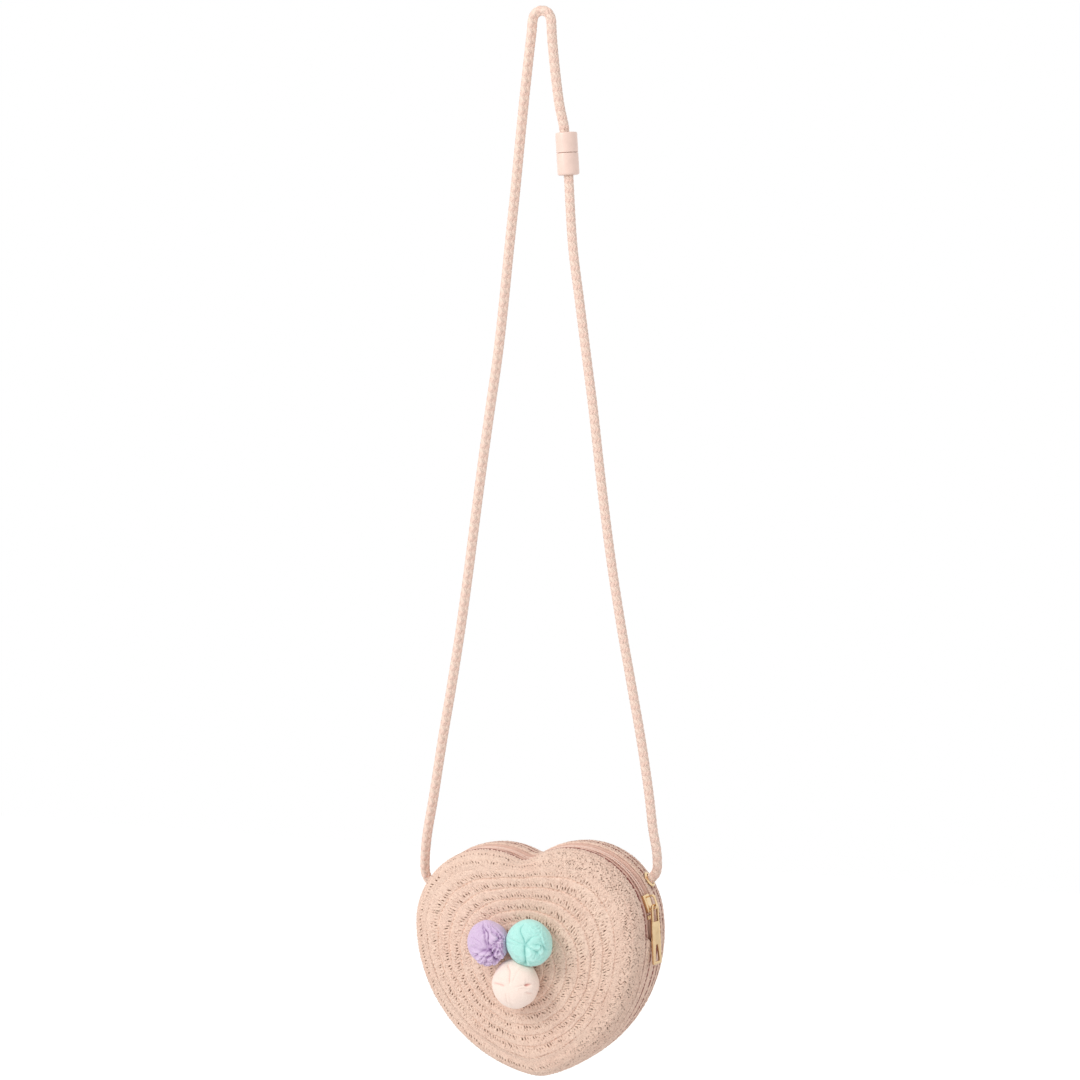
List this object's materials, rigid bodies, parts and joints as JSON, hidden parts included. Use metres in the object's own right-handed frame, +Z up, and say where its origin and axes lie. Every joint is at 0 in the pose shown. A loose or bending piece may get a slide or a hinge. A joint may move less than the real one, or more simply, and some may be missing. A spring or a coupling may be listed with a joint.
{
  "type": "straw bag",
  "caption": "Heart-shaped straw shoulder bag with a curved zip over the top, tulle pompoms on the front and a long braided rope strap with a clasp.",
  "frame": {"origin": "on the underside of the strap's top bend, where the bag hangs from a hook or a shoulder", "axes": "-Y faces the front with the pompoms, +X is the side with the zip slider and the clasp, +Z is up along the hanging strap"},
  "size_m": [0.1835, 0.0852, 0.7274],
  "materials": {
    "straw": "woven paper straw, matt",
    "lining": "plain cotton",
    "zip_tape": "woven tape, matt",
    "zip_coil": "nylon coil",
    "gold_metal": "light gold plate, polished",
    "rope": "braided cotton rope",
    "clasp_plastic": "smooth, satin",
    "tulle_lilac": "gathered tulle",
    "tulle_mint": "gathered tulle",
    "tulle_cream": "gathered tulle"
  },
  "bodies": {
    "bag_and_strap": {"front_shell": "straw", "back_shell": "straw", "front_lining": "lining", "back_lining": "lining", "zip_tape_front": "zip_tape", "zip_tape_rear": "zip_tape", "zip_coil_front": "zip_coil", "zip_coil_rear": "zip_coil", "zip_top_stop_front": "gold_metal", "zip_top_stop_rear": "gold_metal", "zip_bottom_stop": "gold_metal", "eyelet_left": "gold_metal", "eyelet_right": "gold_metal", "eyelet_washer_left": "gold_metal", "eyelet_washer_right": "gold_metal", "strap_rope": "rope", "strap_rope_lower": "rope", "strap_knot_left": "rope", "strap_knot_right": "rope", "clasp_socket": "clasp_plastic", "clasp_knot_upper": "rope", "pompom_lilac": "tulle_lilac", "pompom_mint": "tulle_mint", "pompom_cream": "tulle_cream"},
    "zip_slider": {"slider_body": "gold_metal", "slider_bail": "gold_metal"},
    "zip_pull": {"pull_tab": "gold_metal"},
    "clasp_lower_half": {"clasp_plug": "clasp_plastic", "clasp_knot_lower": "rope"}
  },
  "joints": [
    {"name": "slider_travel", "type": "hinge", "parent": "bag_and_strap", "child": "zip_slider", "pos_m": [0.02931, -0.006, -0.6135], "axis": [0, -1, 0], "range_deg": [0, 96]},
    {"name": "pull_swing", "type": "hinge", "parent": "zip_slider", "child": "zip_pull", "pos_m": [0.0848, -0.006, -0.59769], "axis": [-0.2079, -0.9781, 0], "range_deg": [0, 150]},
    {"name": "clasp_release", "type": "slide", "parent": "bag_and_strap", "child": "clasp_lower_half", "axis": [0.0628, 0, -0.998], "range_m": [0, 0.01], "deforming": ["strap_rope_lower"]}
  ]
}
